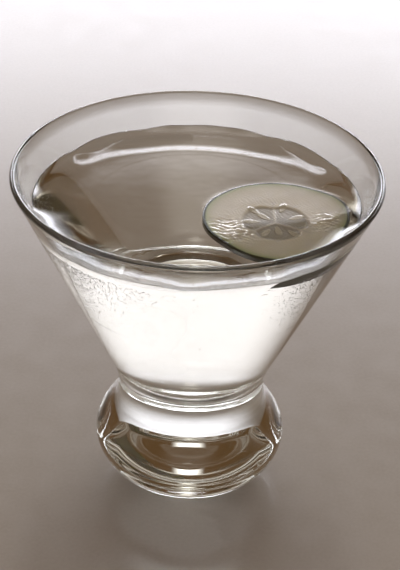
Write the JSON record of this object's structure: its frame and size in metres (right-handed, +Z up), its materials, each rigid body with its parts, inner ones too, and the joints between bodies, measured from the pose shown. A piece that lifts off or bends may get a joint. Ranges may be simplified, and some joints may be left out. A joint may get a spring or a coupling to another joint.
{
  "type": "martini cocktail in a stemless glass",
  "caption": "Stemless conical martini glass on a solid glass ball foot, filled with a clear drink, with a cucumber slice floating on it.",
  "frame": {"origin": "middle of the small flat under the ball foot, where the glass stands", "axes": "+Z up along the glass's axis, +X to the picture's right, -Y towards the picture's camera"},
  "size_m": [0.104, 0.104, 0.1015],
  "materials": {
    "clear_glass": "pressed and fire-polished clear soda-lime glass",
    "clear_drink": "clear cold drink with a very slight warm tint",
    "cucumber": "wet translucent cucumber flesh with a thin dark green skin"
  },
  "bodies": {
    "root": {"glass": "clear_glass", "drink": "clear_drink", "cucumber_slice": "cucumber"}
  },
  "joints": []
}
